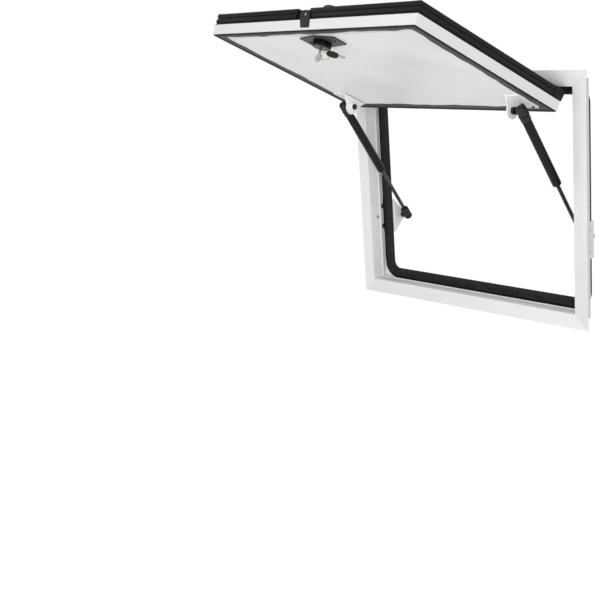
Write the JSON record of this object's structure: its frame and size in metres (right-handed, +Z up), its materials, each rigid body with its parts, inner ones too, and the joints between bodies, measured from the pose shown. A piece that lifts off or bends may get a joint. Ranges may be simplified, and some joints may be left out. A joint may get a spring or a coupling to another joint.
{
  "type": "caravan luggage door",
  "caption": "Top-hinged luggage door in a white flanged wall frame, held open by gas struts, with a rear seal and a lock at the free edge.",
  "frame": {"origin": "on the back face of the frame's flange, in the middle of the bottom rail's bare strip", "axes": "+X to the right seen from outside, +Y into the vehicle, +Z up"},
  "size_m": [0.62, 0.4979, 0.6484],
  "materials": {
    "frame_white": "white powder coat",
    "black_rubber": "matte extruded rubber",
    "hinge_black": "black coat",
    "stainless_steel": "drawn bar",
    "door_white": "white powder coat",
    "panel_white": "white coated sheet",
    "foam_core": "rigid foam",
    "bracket_white": "white powder coat",
    "zinc_steel": "dark zinc",
    "strut_black": "black paint",
    "rod_steel": "dark nitrided",
    "black_plastic": "moulded",
    "key_metal": "nickel plated"
  },
  "bodies": {
    "frame": {"frame_bottom_rail": "frame_white", "frame_top_rail": "frame_white", "frame_left_rail": "frame_white", "frame_right_rail": "frame_white", "frame_seal": "black_rubber", "frame_corner_keys": "frame_white", "hinge_frame_leaf": "hinge_black", "hinge_pin": "stainless_steel", "left_frame_bracket": "bracket_white", "left_frame_stud": "zinc_steel", "right_frame_bracket": "bracket_white", "right_frame_stud": "zinc_steel"},
    "door": {"hinge_door_leaf": "hinge_black", "door_bottom_edge": "door_white", "door_top_edge": "door_white", "door_left_edge": "door_white", "door_right_edge": "door_white", "door_rim_seal": "black_rubber", "door_outer_skin": "panel_white", "door_core": "foam_core", "door_inner_panel": "panel_white", "door_inner_trim": "black_rubber", "left_door_bracket": "bracket_white", "left_door_stud": "zinc_steel", "right_door_bracket": "bracket_white", "right_door_stud": "zinc_steel", "lock_plate": "black_plastic", "latch_tab": "black_plastic"},
    "lock": {"lock_spindle": "zinc_steel", "lock_outer_knob": "black_plastic", "lock_inner_knob": "black_plastic", "lock_keys": "key_metal"},
    "left_tube": {"left_strut_upper_socket": "strut_black", "left_strut_tube": "strut_black"},
    "left_rod": {"left_strut_lower_socket": "strut_black", "left_strut_rod": "rod_steel"},
    "right_tube": {"right_strut_upper_socket": "strut_black", "right_strut_tube": "strut_black"},
    "right_rod": {"right_strut_lower_socket": "strut_black", "right_strut_rod": "rod_steel"}
  },
  "joints": [
    {"name": "door_hinge", "type": "hinge", "parent": "frame", "child": "door", "pos_m": [0, -0.0081, 0.45215], "axis": [1, 0, 0], "range_deg": [0, 116]},
    {"name": "lock_turn", "type": "hinge", "parent": "door", "child": "lock", "pos_m": [0, -0.34596, 0.61693], "axis": [0, -0.4384, -0.8988], "range_deg": [0, 90]},
    {"name": "left_tube_pivot", "type": "hinge", "parent": "door", "child": "left_tube", "pos_m": [-0.24, -0.10104, 0.42561], "axis": [1, 0, 0], "range_deg": [-144.89, 0]},
    {"name": "left_rod_slide", "type": "slide", "parent": "left_tube", "child": "left_rod", "axis": [0, -0.5565, 0.8309], "range_m": [0, 0.09839]},
    {"name": "right_tube_pivot", "type": "hinge", "parent": "door", "child": "right_tube", "pos_m": [0.24, -0.10104, 0.42561], "axis": [1, 0, 0], "range_deg": [-144.89, 0]},
    {"name": "right_rod_slide", "type": "slide", "parent": "right_tube", "child": "right_rod", "axis": [0, -0.5565, 0.8309], "range_m": [0, 0.09839]}
  ],
  "couplings": [
    {"joint": "left_tube_pivot", "follows": "door_hinge", "ratio": -1.2486},
    {"joint": "left_rod_slide", "follows": "door_hinge", "m_per_rad": 0.048498},
    {"joint": "right_tube_pivot", "follows": "door_hinge", "ratio": -1.2486},
    {"joint": "right_rod_slide", "follows": "door_hinge", "m_per_rad": 0.048498}
  ]
}
